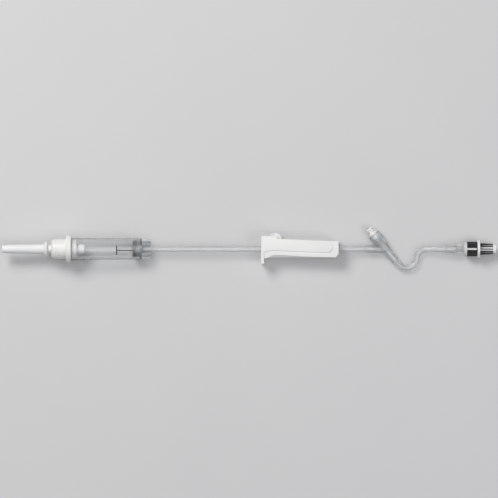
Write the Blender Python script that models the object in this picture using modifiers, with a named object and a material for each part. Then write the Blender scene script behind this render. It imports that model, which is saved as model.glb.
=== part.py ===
"""Infusion set with piercing spike, drip chamber, roller clamp, needle-free Y-site and rotating luer lock.

Metres, +Z up. The set lies on a surface as it comes to rest: the drip chamber on its
flange and barrel end, the roller clamp on its side wall, the Y-site and the luer lock on
their widest rings, and the tube slack between them. +X runs from the spike to the luer
lock, +Y is the side that the clamp's roller and the Y-site's valve point to.
"""

import math

import bmesh
import bpy
from mathutils import Matrix, Vector

MM = 0.001
K = 0.706            # mm for each unit of the layout drawing (4.1 mm tube = 5.81 units)
AX_U, AY_U = 249.255, 249.0   # layout units of X = 0 and of the tube's axis
SHIFT_Y = -2.7753    # mm, brings the middle of the widest outline onto Y = 0


def ux(u):
    """Layout unit across -> X in mm."""
    return (u - AX_U) * K


def uy(v):
    """Layout unit down -> Y in mm, before SHIFT_Y."""
    return (AY_U - v) * K


# ---------------------------------------------------------------- driving sizes (mm)
GAP = 0.25                     # between pieces that touch
TUBE_OD = 4.10
TUBE_R = TUBE_OD / 2
SOCKET_R = TUBE_R + 0.15       # bore that a tube end is bonded in

SPIKE_R = 2.80                 # shank of the piercing spike (5.6 mm)
CAP_TIP_R, CAP_MOUTH_R, CAP_RIM_R, CAP_WALL = 2.85, 3.56, 5.45, 0.60
HUB_R, FLANGE_R = 7.00, 9.70
BARREL_R0, BARREL_R1, BARREL_WALL = 7.70, 7.32, 0.90
PLUG_R, NOZZLE_R, NOZZLE_BORE = 6.45, 3.55, 1.30
OUTLET_R = 7.35

CLAMP_W = 13.5                 # across the side bosses
CLAMP_Z = CLAMP_W / 2
CHANNEL_W = 9.4
WALL_FACE = 0.55               # how far the side walls lie inside the bosses
ROLLER_R, ROLLER_W = 4.65, 8.6
STUB_R, STUB_OUT = 0.62, 1.25  # roller's trunnions
ROLLER_OPEN = (ux(275.2), uy(239.15))
ROLLER_SHUT = (ux(322.0), uy(246.0))

Y_ANGLE = math.radians(-50.3)  # the valve's axis, from +X
Y_TOP = (ux(368.9), uy(228.5))
Y_Z = 4.55
LUER_Z = 6.25

CHAMBER_X = ux(71.0)           # the flange's lower face, on the chamber's axis
BARREL_LEN = (140.1 - 71.0) * K
TILT = math.atan((FLANGE_R - OUTLET_R + 0.05) / (BARREL_LEN + GAP + 0.9 + 0.4))
CHAMBER_Z = FLANGE_R * math.cos(TILT) - 0.4 * math.sin(TILT)

# ---------------------------------------------------------------- scene
for old in list(bpy.data.objects):
    bpy.data.objects.remove(old, do_unlink=True)
scene = bpy.context.scene
PARTS = bpy.data.collections.new("infusion_set")
CUTTERS = bpy.data.collections.new("cutters")
for c in (PARTS, CUTTERS):
    scene.collection.children.link(c)
CUTTERS.hide_render = True


def material(name, colour, rough, metal=0.0, alpha=1.0):
    m = bpy.data.materials.new(name)
    m.use_nodes = True
    b = m.node_tree.nodes["Principled BSDF"]
    b.inputs["Base Color"].default_value = (*colour, 1)
    b.inputs["Roughness"].default_value = rough
    b.inputs["Metallic"].default_value = metal
    b.inputs["Alpha"].default_value = alpha
    return m


M_CAP = material("natural_polythene", (0.86, 0.88, 0.88), 0.45)
M_SPIKE = material("white_abs", (0.90, 0.90, 0.88), 0.35)
M_CLEAR = material("clear_chamber", (0.88, 0.93, 0.95), 0.12, 0.0, 0.4)
M_OUTLET = material("clear_outlet", (0.86, 0.90, 0.92), 0.15, 0.0, 0.6)
M_MESH = material("grey_filter", (0.42, 0.42, 0.42), 0.7)
M_TUBE = material("clear_tube", (0.90, 0.93, 0.93), 0.15, 0.0, 0.5)
M_CLAMP = material("white_clamp", (0.91, 0.91, 0.90), 0.4)
M_ROLLER = material("white_roller", (0.88, 0.89, 0.90), 0.4)
M_Y = material("clear_y_site", (0.86, 0.90, 0.92), 0.15, 0.0, 0.6)
M_VALVE = material("white_valve", (0.90, 0.90, 0.90), 0.3)
M_SEAL = material("silicone_seal", (0.75, 0.80, 0.84), 0.55)
M_NUT = material("black_nut", (0.03, 0.03, 0.035), 0.45)
M_LCAP = material("white_luer_cap", (0.90, 0.91, 0.91), 0.4)


def adopt(mesh, name, collection):
    o = bpy.data.objects.new(name, mesh)
    collection.objects.link(o)
    return o


def tidy(mesh):
    """Welds doubles and turns every face outwards."""
    bm = bmesh.new()
    bm.from_mesh(mesh)
    bmesh.ops.remove_doubles(bm, verts=bm.verts, dist=0.000002)
    bmesh.ops.dissolve_degenerate(bm, edges=bm.edges, dist=0.000001)
    bmesh.ops.recalc_face_normals(bm, faces=bm.faces)
    bm.to_mesh(mesh)
    bm.free()


def as_mesh(obj, name, collection):
    """The evaluated shape of obj as an object of its own, in world space; obj is removed."""
    bpy.context.view_layer.update()
    graph = bpy.context.evaluated_depsgraph_get()
    mesh = bpy.data.meshes.new_from_object(obj.evaluated_get(graph))
    mesh.name = name
    mesh.transform(obj.matrix_world)
    tidy(mesh)
    bpy.data.objects.remove(obj, do_unlink=True)
    return adopt(mesh, name, collection)


def smooth(obj, angle=35):
    obj.data.shade_smooth()
    obj.data.set_sharp_from_angle(angle=math.radians(angle))


def turned(name, profile, steps=32, collection=None):
    """A solid of revolution about X: profile is its closed half section, (x, r) in mm."""
    mesh = bpy.data.meshes.new(name + "_section")
    n = len(profile)
    mesh.from_pydata([(x * MM, r * MM, 0) for x, r in profile], [(i, (i + 1) % n) for i in range(n)], [])
    o = adopt(mesh, name + "_section", CUTTERS)
    s = o.modifiers.new("turn", "SCREW")
    s.axis = "X"
    s.angle = math.tau
    s.steps = s.render_steps = steps
    s.use_merge_vertices = True
    s.merge_threshold = 0.000002
    return as_mesh(o, name, collection or PARTS)


def block(name, lo, hi, bevel=0.0, collection=None):
    """A box from its two corners in mm, with rounded edges."""
    bm = bmesh.new()
    bmesh.ops.create_cube(bm, size=1.0)
    size = [(b - a) * MM for a, b in zip(lo, hi)]
    mid = [(a + b) / 2 * MM for a, b in zip(lo, hi)]
    bmesh.ops.transform(bm, matrix=Matrix.Translation(mid) @ Matrix.Diagonal((*size, 1)), verts=bm.verts)
    if bevel:
        bmesh.ops.bevel(bm, geom=bm.edges[:], offset=bevel * MM, segments=2, profile=0.5, affect="EDGES")
    mesh = bpy.data.meshes.new(name)
    bm.to_mesh(mesh)
    bm.free()
    return adopt(mesh, name, collection or PARTS)


def plate(name, outline, z0, z1, collection=None):
    """A flat outline in XY (mm) given a thickness from z0 to z1."""
    curve = bpy.data.curves.new(name, "CURVE")
    curve.dimensions = "2D"
    curve.fill_mode = "BOTH"
    curve.extrude = (z1 - z0) / 2 * MM
    sp = curve.splines.new("POLY")
    sp.points.add(len(outline) - 1)
    for p, (x, y) in zip(sp.points, outline):
        p.co = (x * MM, y * MM, 0, 1)
    sp.use_cyclic_u = True
    o = adopt(curve, name + "_curve", CUTTERS)
    o.location.z = (z0 + z1) / 2 * MM
    return as_mesh(o, name, collection or PARTS)


def rod(name, points, radius, resolution=3, collection=None, mat=None):
    """A curve with a round section through points in mm."""
    curve = bpy.data.curves.new(name, "CURVE")
    curve.dimensions = "3D"
    curve.bevel_depth = radius * MM
    curve.bevel_resolution = resolution
    curve.use_fill_caps = True
    curve.twist_mode = "MINIMUM"
    sp = curve.splines.new("POLY")
    sp.points.add(len(points) - 1)
    for p, q in zip(sp.points, points):
        p.co = (q[0] * MM, q[1] * MM, q[2] * MM, 1)
    o = adopt(curve, name, collection or PARTS)
    if mat:
        curve.materials.append(mat)
    return o


def combine(obj, other, how):
    """Joins other to obj, or cuts it away, and keeps the result as obj's own mesh."""
    m = obj.modifiers.new(how.lower(), "BOOLEAN")
    m.operation = how
    m.solver = "EXACT"
    m.object = other
    name, collection = obj.name, obj.users_collection[0]
    result = as_mesh(obj, name + "_made", collection)
    bpy.data.objects.remove(other, do_unlink=True)
    result.name = result.data.name = name
    return result


def frame_empty(name, location, rotation=(0, 0, 0)):
    e = bpy.data.objects.new(name, None)
    e.empty_display_size = 0.005
    PARTS.objects.link(e)
    e.location = [v * MM for v in location]
    e.rotation_euler = rotation
    return e


def finish(obj, mat, parent=None, at=None):
    """Gives obj its material, and places it in its parent's frame, its origin at `at` there (mm)."""
    obj.data.materials.clear()
    obj.data.materials.append(mat)
    smooth(obj)
    if at is not None:
        obj.data.transform(Matrix.Translation([-v * MM for v in at]))
        obj.location = [v * MM for v in at]
    if parent is not None:
        obj.parent = parent
    return obj


# The whole set hangs on one empty, so that its origin is the middle of its resting outline.
ROOT = frame_empty("set_origin", (0, SHIFT_Y, 0))
CHAMBER = frame_empty("chamber_axis", (CHAMBER_X, 0, CHAMBER_Z), (0, TILT, 0))
VALVE = frame_empty("y_site_axis", (*Y_TOP, Y_Z), (0, 0, Y_ANGLE))
LUER = frame_empty("luer_axis", (0, 0, LUER_Z))
for e in (CHAMBER, VALVE, LUER):
    e.parent = ROOT


def cu(u):
    """Layout unit -> distance along the chamber's axis from the flange's lower face, mm."""
    return (u - 71.0) * K


# ================================================================ spike and drip chamber
# Protective cap: a tapered closed tube with a flared rim at its mouth.
x0, x1, x2 = cu(2.4), cu(44.7), cu(47.5)


def cap_r(x):
    return CAP_TIP_R + (CAP_MOUTH_R - CAP_TIP_R) * (x - x0) / (x1 - x0)


spike_cap = turned("spike_cap", [
    (x0, 0), (x0, CAP_TIP_R - 0.35), (x0 + 0.10, CAP_TIP_R - 0.10), (x0 + 0.35, cap_r(x0 + 0.35)),
    (x1, CAP_MOUTH_R), (x1 + 0.15, CAP_RIM_R - 0.15), (x1 + 0.45, CAP_RIM_R), (x1 + 0.95, CAP_RIM_R - 0.15),
    (x2, CAP_RIM_R - 0.75), (x2, SPIKE_R + 0.42), (x1, cap_r(x1) - CAP_WALL + 0.10),
    (x0 + 1.3, cap_r(x0 + 1.3) - CAP_WALL), (x0 + 0.9, 1.6), (x0 + 0.9, 0),
], 32)
finish(spike_cap, M_CAP, CHAMBER, (0, 0, 0))

# Piercing spike, hub and finger flange in one moulding. The spike has an oblique point and a
# fluid channel; the hub is hollow round a central column, open towards the chamber.
tip, neck, hub0, hub1 = cu(6.5), cu(47.5), cu(51.4), cu(66.1)
spike = turned("spike", [
    (tip, 0.25), (tip + 3.5, 1.45), (tip + 8.0, 2.05), (cu(25), 2.36), (cu(43), 2.68), (neck, SPIKE_R + 0.02),
    (hub0, SPIKE_R + 0.02), (hub0, HUB_R - 2.6), (hub0 + 0.22, HUB_R - 1.55), (hub0 + 0.85, HUB_R - 0.72),
    (hub0 + 1.75, HUB_R - 0.18), (hub0 + 2.8, HUB_R), (hub1, HUB_R),
    (hub1, FLANGE_R - 0.40), (hub1 + 0.12, FLANGE_R - 0.12), (hub1 + 0.40, FLANGE_R),
    (-0.40, FLANGE_R), (-0.12, FLANGE_R - 0.12), (0, FLANGE_R - 0.40), (0, 5.60),
    (hub0 + 3.2, 5.60), (hub0 + 2.2, 4.6), (hub0 + 1.9, 3.2), (hub0 + 2.2, 2.9), (-1.2, 2.70), (-1.2, 1.15),
    (tip + 2.5, 1.05), (tip, 0.20),
], 32)
# the oblique cut that opens the channel at the point
cut = block("spike_bevel", (-9.5, 0, -5), (9.5, 8, 5), 0, CUTTERS)
cut.matrix_world = Matrix.Translation((( tip + 4.4) * MM, 0.35 * MM, 0)) @ Matrix.Rotation(math.radians(14.5), 4, "Z")
spike = combine(spike, cut, "DIFFERENCE")
finish(spike, M_SPIKE, CHAMBER, (0, 0, 0))

# Drop former: a plug that closes the hub, with the nozzle that shapes the drops.
p0, p1, n1 = GAP, cu(77.7), cu(84.7)
drop_former = turned("drop_former", [
    (-2.6, 5.30), (p0, 5.30), (p0, PLUG_R), (p1 - 1.6, PLUG_R), (p1 - 0.75, PLUG_R - 0.20),
    (p1 - 0.2, PLUG_R - 0.75), (p1, PLUG_R - 1.6), (p1, NOZZLE_R), (n1 - 0.25, NOZZLE_R), (n1, NOZZLE_R - 0.25),
    (n1, NOZZLE_BORE + 0.35), (n1 - 0.35, NOZZLE_BORE), (0.6, NOZZLE_BORE), (-0.4, 1.15),
    (-0.9, 1.15), (-0.9, 2.60), (0.5, 3.0), (p1 - 1.4, 3.0), (p1 - 1.4, PLUG_R - 1.9), (p1 - 2.0, PLUG_R - 1.35), (-2.6, 4.30),
], 32)
finish(drop_former, M_SPIKE, CHAMBER, (0, 0, 0))

# Barrel of the chamber: a soft clear tube, slightly tapered.
b0, b1 = GAP, cu(140.1)
barrel = turned("chamber_barrel", [
    (b0, BARREL_R0), (b1 - 0.3, BARREL_R1 + 0.005), (b1, BARREL_R1 - 0.25), (b1, BARREL_R1 - BARREL_WALL),
    (cu(131.0), BARREL_R1 - BARREL_WALL + 0.03), (b0, BARREL_R0 - BARREL_WALL),
], 40)
finish(barrel, M_CLEAR, CHAMBER, (0, 0, 0))

# Fluid filter: a ring with a cross of spokes, and the mesh disc on it.
f0, f1, FR = cu(132.7), cu(135.8), 6.15
ring = turned("filter_ring", [
    (f0 + 0.45, FR), (f1, FR), (f1, FR - 1.1), (f0 + 0.45, FR - 1.1),
], 32)
for i in range(2):
    bar = block(f"spoke{i}", (f0 + 1.0, -(FR - 0.5), -0.4), (f1 - 0.15, FR - 0.5, 0.4), 0, CUTTERS)
    bar.matrix_world = Matrix.Rotation(math.radians(45 + 90 * i), 4, "X")
    ring = combine(ring, bar, "UNION")
finish(ring, M_MESH, CHAMBER, (0, 0, 0))
mesh_disc = turned("filter_mesh", [(f0 - 0.10, 0), (f0 - 0.10, FR - 0.1), (f0 + 0.20, FR - 0.1), (f0 + 0.20, 0)], 32)
finish(mesh_disc, M_MESH, CHAMBER, (0, 0, 0))

# Outlet: closes the barrel, carries the filter, and holds the tube in a socket between six fins.
o0, o1 = cu(140.1) + GAP, cu(150.9)
outlet = turned("outlet_cap", [
    (f1 + GAP, 6.10), (cu(140.1) - 0.2, 6.10), (o0, 6.20), (o0, OUTLET_R - 0.05), (o0 + 0.9, OUTLET_R - 0.05),
    (o0 + 1.1, OUTLET_R - 0.25), (o0 + 1.1, 3.05), (o1, 2.85), (o1, SOCKET_R), (cu(142.0), SOCKET_R),
    (cu(142.0), 1.45), (o0 - 1.5, 1.45), (f1 + GAP + 0.2, 4.9),
], 40)
for i, a in enumerate((90, 45, 135, -90, -45, -135)):
    fin = block(f"fin{i}", (o0 + 0.6, 2.5, -0.42), (o1, OUTLET_R - 0.02, 0.42), 0, CUTTERS)
    fin.matrix_world = Matrix.Rotation(math.radians(a - 90), 4, "X")
    outlet = combine(outlet, fin, "UNION")
finish(outlet, M_OUTLET, CHAMBER, (0, 0, 0))

# ================================================================ roller clamp (on its side; roller towards +Y)
zc = CLAMP_Z
side = [(261.3, 235.9), (277.3, 235.9), (277.6, 238.2), (292.0, 239.3), (300.0, 239.7), (329.5, 240.9),
        (338.0, 241.1), (338.5, 241.8), (338.5, 253.9), (335.9, 257.3), (320.0, 257.2), (300.0, 256.4),
        (282.0, 255.3), (273.5, 255.2), (270.5, 256.8), (267.0, 258.2), (264.0, 258.4),
        (264.0, 263.5), (263.7, 263.9), (261.3, 263.9), (261.0, 263.5)]
side = [(ux(a), uy(b)) for a, b in side]
clamp = plate("clamp_body", side, WALL_FACE, CLAMP_W - WALL_FACE)

# raised boss of each side wall, which the trunnion slot runs inside; it takes in the end plate
arc = [(327.0 + 5.75 * math.cos(t), 246.75 + 5.75 * math.sin(t)) for t in [math.radians(a) for a in range(80, -81, -20)]]
boss = [(261.2, 236.0), (277.2, 236.0), (277.5, 238.3), (292.0, 239.4), (300.0, 239.8), (322.0, 240.75)] + arc[::-1][0:0]
boss += [(x, y) for x, y in reversed(arc)]
boss += [(322.0, 252.45), (300.0, 251.5), (282.0, 250.85), (272.0, 250.5), (270.0, 250.55), (266.0, 251.8),
         (264.05, 252.2), (264.05, 263.45), (263.72, 263.85), (261.28, 263.85), (260.95, 263.45)]
boss = [(ux(a), uy(b)) for a, b in boss]
for i, (z0, z1) in enumerate(((0.0, WALL_FACE + 0.6), (CLAMP_W - WALL_FACE - 0.6, CLAMP_W))):
    clamp = combine(clamp, plate(f"boss{i}", boss, z0, z1, CUTTERS), "UNION")

# keel under the floor
keel = [(ux(a), uy(b)) for a, b in ((270.0, 254.0), (337.0, 254.0), (336.0, 257.45), (271.0, 257.45))]
clamp = combine(clamp, plate("keel", keel, zc - 1.6, zc + 1.6, CUTTERS), "UNION")
# thickened end wall that guides the tube out is part of the side outline; the channel stops before it
channel = [(ux(a), uy(b)) for a, b in ((264.3, 225.0), (331.0, 225.0), (331.0, 254.2), (322.0, 254.2),
                                      (282.0, 252.75), (275.0, 252.45), (264.3, 252.45))]
clamp = combine(clamp, plate("channel", channel, zc - CHANNEL_W / 2, zc + CHANNEL_W / 2, CUTTERS), "DIFFERENCE")
# relieved wall behind the boss at both ends of the outline (the flange stays full width)
# tube passages through both end walls
bore = turned("tube_way", [(ux(258), 0), (ux(258), TUBE_R + 0.3), (ux(342), TUBE_R + 0.3), (ux(342), 0)], 24, CUTTERS)
bore.location = (0, 0, zc * MM)
clamp = combine(clamp, bore, "DIFFERENCE")
# metering groove: a V that fades out towards the shut end
groove = bmesh.new()
gx0, gx1 = ux(266.0), ux(318.0)
gy0, gy1 = uy(252.45), uy(254.0)
vs = [groove.verts.new([c * MM for c in p]) for p in (
    (gx0, gy0 + 0.6, zc - 1.9), (gx0, gy0 + 0.6, zc + 1.9), (gx0, gy0 - 1.0, zc),
    (gx1, gy1 + 0.6, zc - 0.7), (gx1, gy1 + 0.6, zc + 0.7), (gx1, gy1 - 0.02, zc))]
bmesh.ops.convex_hull(groove, input=vs)
gm = bpy.data.meshes.new("groove")
groove.to_mesh(gm)
groove.free()
clamp = combine(clamp, adopt(gm, "groove", CUTTERS), "DIFFERENCE")
# trunnion slots, blind in each side wall, open at the inner faces only
ax_, ay_ = ROLLER_OPEN
bx_, by_ = ROLLER_SHUT
run = math.hypot(bx_ - ax_, by_ - ay_)
slope = math.atan2(by_ - ay_, bx_ - ax_)
half = STUB_R + 0.12
for z0, z1 in ((zc - ROLLER_W / 2 - STUB_OUT - 0.2, zc - CHANNEL_W / 2 + 0.3), (zc + CHANNEL_W / 2 - 0.3, zc + ROLLER_W / 2 + STUB_OUT + 0.2)):
    pts = []
    for cx, base in ((run + 0.15, -90), (-0.15, 90)):
        for d in range(0, 181, 30):
            t = math.radians(base + d)
            px, py = cx + half * math.cos(t), half * math.sin(t)
            pts.append((ax_ + px * math.cos(slope) - py * math.sin(slope), ay_ + px * math.sin(slope) + py * math.cos(slope)))
    clamp = combine(clamp, plate("slot", pts, z0, z1, CUTTERS), "DIFFERENCE")
finish(clamp, M_CLAMP, ROOT, (0, 0, 0))

# Roller: wheel and trunnions in one moulding, its axis along Z.
h, s = ROLLER_W / 2, ROLLER_W / 2 + STUB_OUT
roller = turned("roller", [
    (-s, 0), (-s, STUB_R - 0.12), (-s + 0.12, STUB_R), (-h - 0.0, STUB_R), (-h, 2.6), (-h + 0.5, 2.9), (-h + 0.5, 3.7), (-h, 3.9),
    (-h, ROLLER_R - 0.3), (-h + 0.3, ROLLER_R), (h - 0.3, ROLLER_R), (h, ROLLER_R - 0.3), (h, 3.9), (h - 0.5, 3.7), (h - 0.5, 2.9), (h, 2.6),
    (h, STUB_R), (s - 0.12, STUB_R), (s, STUB_R - 0.12), (s, 0),
], 32)
roller.data.transform(Matrix.Rotation(math.radians(90), 4, "Y"))
finish(roller, M_ROLLER)
roller.location = (ax_ * MM, ay_ * MM, zc * MM)
roller.parent = ROOT

# ================================================================ Y-site with needle-free valve (along its own axis)
y_end = 29.4
ybody = turned("y_body", [
    (5.65, 3.75), (5.80, 4.20), (6.2, 4.42), (8.5, 4.52), (10.6, 4.45), (12.7, 4.15), (15.2, 3.60), (17.4, 3.12),
    (20.0, 2.78), (20.26, 2.50), (y_end - 0.15, 2.46), (y_end, 2.36), (y_end, SOCKET_R), (21.2, SOCKET_R), (21.2, 1.40),
    (17.4, 1.40), (15.2, 2.85), (9.4, 2.95), (9.4, 3.50), (5.65, 3.50),
], 32)
# side inlet, along +X in the set's frame, meeting the valve's axis in the channel
inv = Matrix.Rotation(-Y_ANGLE, 4, "Z") @ Matrix.Translation((-Y_TOP[0] * MM, -Y_TOP[1] * MM, 0))
meet = Y_TOP[0] + Y_TOP[1] / math.tan(-Y_ANGLE)
in0 = ux(365.0)
inlet = turned("inlet", [(in0, 0), (in0, 2.38), (in0 + 0.15, 2.5), (meet, 2.5), (meet, 0)], 24, CUTTERS)
inlet.matrix_world = inv
bpy.context.view_layer.update()
core = turned("body_core", [(5.0, 0), (5.0, 3.5), (9.4, 3.5), (9.4, 2.95), (15.2, 2.85), (17.4, 1.40), (21.2, 1.40), (21.2, SOCKET_R), (y_end + 1, SOCKET_R), (y_end + 1, 0)], 32, CUTTERS)
ybody = combine(ybody, inlet, "UNION")
ybody = combine(ybody, core, "DIFFERENCE")
for r, a, b in ((SOCKET_R, in0 - 1, in0 + 6.6), (1.25, in0 + 6.0, meet + 0.2)):
    way = turned("inlet_way", [(a, 0), (a, r), (b, r), (b, 0)], 24, CUTTERS)
    way.matrix_world = inv
    ybody = combine(ybody, way, "DIFFERENCE")
finish(ybody, M_Y, VALVE, (0, 0, 0))

# Valve housing: the luer top with its two thread lugs, a cone and a spigot inside the body.
housing = turned("valve_housing", [
    (0, 2.10), (0, 2.50), (0.15, 2.68), (0.4, 2.76), (1.15, 2.84), (1.30, 2.80), (1.48, 2.35), (3.20, 2.35), (3.35, 3.12),
    (5.3, 3.50), (5.40, 3.50), (5.40, 3.25), (9.1, 3.25), (9.1, 2.12), (1.0, 2.12),
], 32)
for turn_by in (-70, 110):     # thread lugs: ridges round the neck that climb as they go
    bm = bmesh.new()
    rows = []
    for i in range(13):
        x, a = 2.10 + 0.78 * i / 12, math.radians(turn_by + 163 * i / 12)
        rows.append([bm.verts.new(((x + dx) * MM, r * MM * math.cos(a), r * MM * math.sin(a)))
                     for dx, r in ((-0.40, 2.28), (-0.22, 2.80), (0.22, 2.80), (0.40, 2.28))])
    for p, q in zip(rows, rows[1:]):
        for j in range(4):
            bm.faces.new((p[j], p[(j + 1) % 4], q[(j + 1) % 4], q[j]))
    bm.faces.new(rows[0])
    bm.faces.new(rows[-1])
    bmesh.ops.recalc_face_normals(bm, faces=bm.faces)
    bmesh.ops.triangulate(bm, faces=bm.faces)
    mesh = bpy.data.meshes.new("lug")
    bm.to_mesh(mesh)
    bm.free()
    housing = combine(housing, adopt(mesh, "lug", CUTTERS), "UNION")
finish(housing, M_VALVE, VALVE, (0, 0, 0))

# Seal: one silicone piece, flush with the top, with a foot that keeps it in the housing.
seal = turned("valve_seal", [
    (-0.05, 0), (-0.05, 1.62), (0.15, 1.82), (9.45, 1.82), (9.45, 2.45), (9.65, 2.60), (10.6, 2.60), (10.8, 2.45), (10.8, 0),
], 32)
finish(seal, M_SEAL, VALVE, (0, 0, 0))

# ================================================================ luer lock end (axis along +X)
lc0, lc1, lf = ux(445.5), ux(456.5), ux(463.2)
tip_x = ux(479.0)
conn = turned("luer_connector", [
    (lc0, SOCKET_R), (lc0, 2.60), (lc0 + 0.12, 2.72), (lc1 - 0.3, 2.72), (lc1 + 0.4, 1.85), (lf, 1.85),
    (ux(466.2), 1.85), (ux(466.2), 3.30), (ux(467.6), 3.30), (ux(467.6), 2.17),
    (tip_x - 0.1, 1.96), (tip_x, 1.86), (tip_x, 1.05), (lc1 - 1.0, 1.05), (lc1 - 1.0, SOCKET_R),
], 32)
for i in range(4):
    wing = [(lc1 - 1.6, 1.5), (lf, 1.5), (lf, 3.42), (lc1 + 0.3, 2.80), (lc1 - 1.6, 2.62)]
    w = plate(f"wing{i}", wing, -0.42, 0.42, CUTTERS)
    w.matrix_world = Matrix.Rotation(math.radians(90 * i), 4, "X")
    conn = combine(conn, w, "UNION")
way = turned("conn_way", [(lc0 - 1, 0), (lc0 - 1, SOCKET_R), (lc1 - 1.0, SOCKET_R), (lc1 - 1.0, 1.05), (lf, 1.05), (lf, 0)], 24, CUTTERS)
conn = combine(conn, way, "DIFFERENCE")
finish(conn, M_Y, LUER, (0, 0, 0))

nb0, nb1 = ux(463.5), ux(477.0)
nut = turned("luer_nut", [
    (nb0, 2.15), (nb0, 3.60), (nb0 + 0.25, 4.05), (nb0 + 0.95, 4.95), (nb0 + 1.35, 5.12), (nb1 - 0.25, 5.12), (nb1, 4.90), (nb1, 4.10),
    (nb1 - 0.15, 3.98), (ux(467.9), 3.98), (ux(465.9), 3.75), (ux(465.9), 2.15),
], 40)
finish(nut, M_NUT, LUER, (nb0, 0, 0))

cf0, cf1, cr1, ce = ux(477.0) + GAP, ux(479.9), ux(493.0), ux(496.2)
cap = turned("luer_cap", [
    (ux(468.6), 2.30), (ux(468.6), 2.85), (ux(468.6) + 0.2, 3.00), (cf0, 3.05), (cf0, 6.08), (cf0 + 0.17, 6.25), (cf1 - 0.17, 6.25), (cf1, 6.08),
    (cf1, 3.10), (ce - 0.3, 3.10), (ce, 2.80), (ce, 0), (ce - 1.2, 0), (ce - 1.2, 1.3), (tip_x + 1.0, 1.5), (tip_x + 0.4, 2.10),
], 36)
for i in range(12):            # grip ribs, lower towards the closed end
    rib = plate(f"rib{i}", [(cf1 - 0.4, 2.4), (cr1, 2.4), (cr1, 3.53), (cf1 - 0.4, 4.17)], -0.34, 0.34, CUTTERS)
    rib.matrix_world = Matrix.Rotation(math.radians(30 * i), 4, "X")
    cap = combine(cap, rib, "UNION")
finish(cap, M_LCAP, LUER, (cf0, 0, 0))

# ================================================================ tube, in two lengths
def ease(t):
    t = max(0.0, min(1.0, t))
    return t * t * (3 - 2 * t)


out_x = CHAMBER_X + cu(142.6) * math.cos(TILT)
out_z = CHAMBER_Z - cu(142.6) * math.sin(TILT)
main = []
x = out_x
end_x = in0 + 6.3
steps = 60
for i in range(steps + 1):
    x = out_x + (end_x - out_x) * i / steps
    if x < ux(176.0):
        t = (x - out_x) / (ux(176.0) - out_x)
        # leaves along the tilted socket and levels out at the clamp's middle height
        span = ux(176.0) - out_x
        slope0 = -math.tan(TILT) * span
        h00, h10, h01 = 2 * t**3 - 3 * t**2 + 1, t**3 - 2 * t**2 + t, -2 * t**3 + 3 * t**2
        z = h00 * out_z + h10 * slope0 + h01 * zc
    else:
        z = zc + (Y_Z - zc) * ease((x - ux(339.5)) / (in0 - 0.8 - ux(339.5)))
    main.append((x, 0.0, z))
tube_main = rod("tube_main", main, TUBE_R, 3, mat=M_TUBE)
tube_main.parent = ROOT

# lower length: out of the Y-site, round a loose S on the surface, and into the luer connector
BEND_R = 7.2                   # tightest radius of the S, 1.75 tube diameters
BEND_EASE = 0.12               # share of each bend, at both ends, in which it tightens gradually
EXIT_RUN = 2.4                 # straight out of the Y-site's socket


def s_route(leg_heading, start, heading):
    """The S as a smooth curve: its curvature rises, holds and falls in each of its two bends."""
    x, y = start
    h = heading
    out = [(x, y)]

    def step(length, turn):
        nonlocal x, y, h
        x += length * math.cos(h + turn / 2)
        y += length * math.sin(h + turn / 2)
        h += turn
        out.append((x, y))

    for _ in range(10):
        step(EXIT_RUN / 10, 0.0)
    for total in (leg_heading - heading, -leg_heading):
        length = abs(total) * BEND_R / (1 - BEND_EASE)
        count = 160
        share = []
        for i in range(count):
            e = min((i + 0.5) / count, 1 - (i + 0.5) / count)
            share.append(1.0 if e >= BEND_EASE else 0.5 - 0.5 * math.cos(math.pi * e / BEND_EASE))
        for w in share:
            step(length / count, total * w / sum(share))
    return out


d = Vector((math.cos(Y_ANGLE), math.sin(Y_ANGLE)))
start = Vector(Y_TOP) + d * 21.6
E = Vector(Y_TOP) + d * y_end
low_h, high_h = math.radians(45), math.radians(89)
for _ in range(40):            # the heading of the middle leg that brings the S back onto the axis
    mid_h = (low_h + high_h) / 2
    if s_route(mid_h, E, Y_ANGLE)[-1][1] < 0:
        low_h = mid_h
    else:
        high_h = mid_h
bends = s_route(mid_h, E, Y_ANGLE)
end_in = lc1 - 1.3
plan = [tuple(start + (E - start) * i / 5) for i in range(5)]
travelled = 0.0
plan.append(bends[0])
for p, q in zip(bends, bends[1:]):
    travelled += math.dist(p, q)
    if travelled >= 1.45:
        plan.append(q)
        travelled = 0.0
s_end = bends[-1]
first = plan[-1][0] + 1.4
for i in range(9):
    plan.append((first + (end_in - first) * i / 8, 0.0))
lengths = [0.0]
for p, q in zip(plan, plan[1:]):
    lengths.append(lengths[-1] + math.dist(p, q))
s_out = y_end - 21.6
s_low0 = s_out + 12.5
s_low1 = s_low0 + 8.0
s_in = lengths[-1] - (end_in - lc0) - 1.0
LOW = TUBE_R + 0.12
lower = []
for (px, py), l in zip(plan, lengths):
    if l < s_low1:
        z = Y_Z + (LOW - Y_Z) * ease((l - s_out) / (s_low0 - s_out))
    else:
        z = LOW + (LUER_Z - LOW) * ease((l - s_low1) / (s_in - s_low1))
    lower.append((px, py, z))
tube_lower = rod("tube_lower", lower, TUBE_R, 3, mat=M_TUBE)
tube_lower.parent = ROOT

for o in list(CUTTERS.objects):
    o.hide_render = True
    o.display_type = "WIRE"
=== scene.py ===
"""Looks of the infusion set: every finish, the hollow tubing and the fine detail of each moulding.

Shapes are made in millimetres in the frame of the piece that they belong to (the drip
chamber's axis, the Y-site valve's axis, the luer lock's axis or the set's own frame) and are
put into the row frame, in metres, at the end.
"""

import math

import bmesh
import bpy
from mathutils import Matrix, Vector


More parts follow.
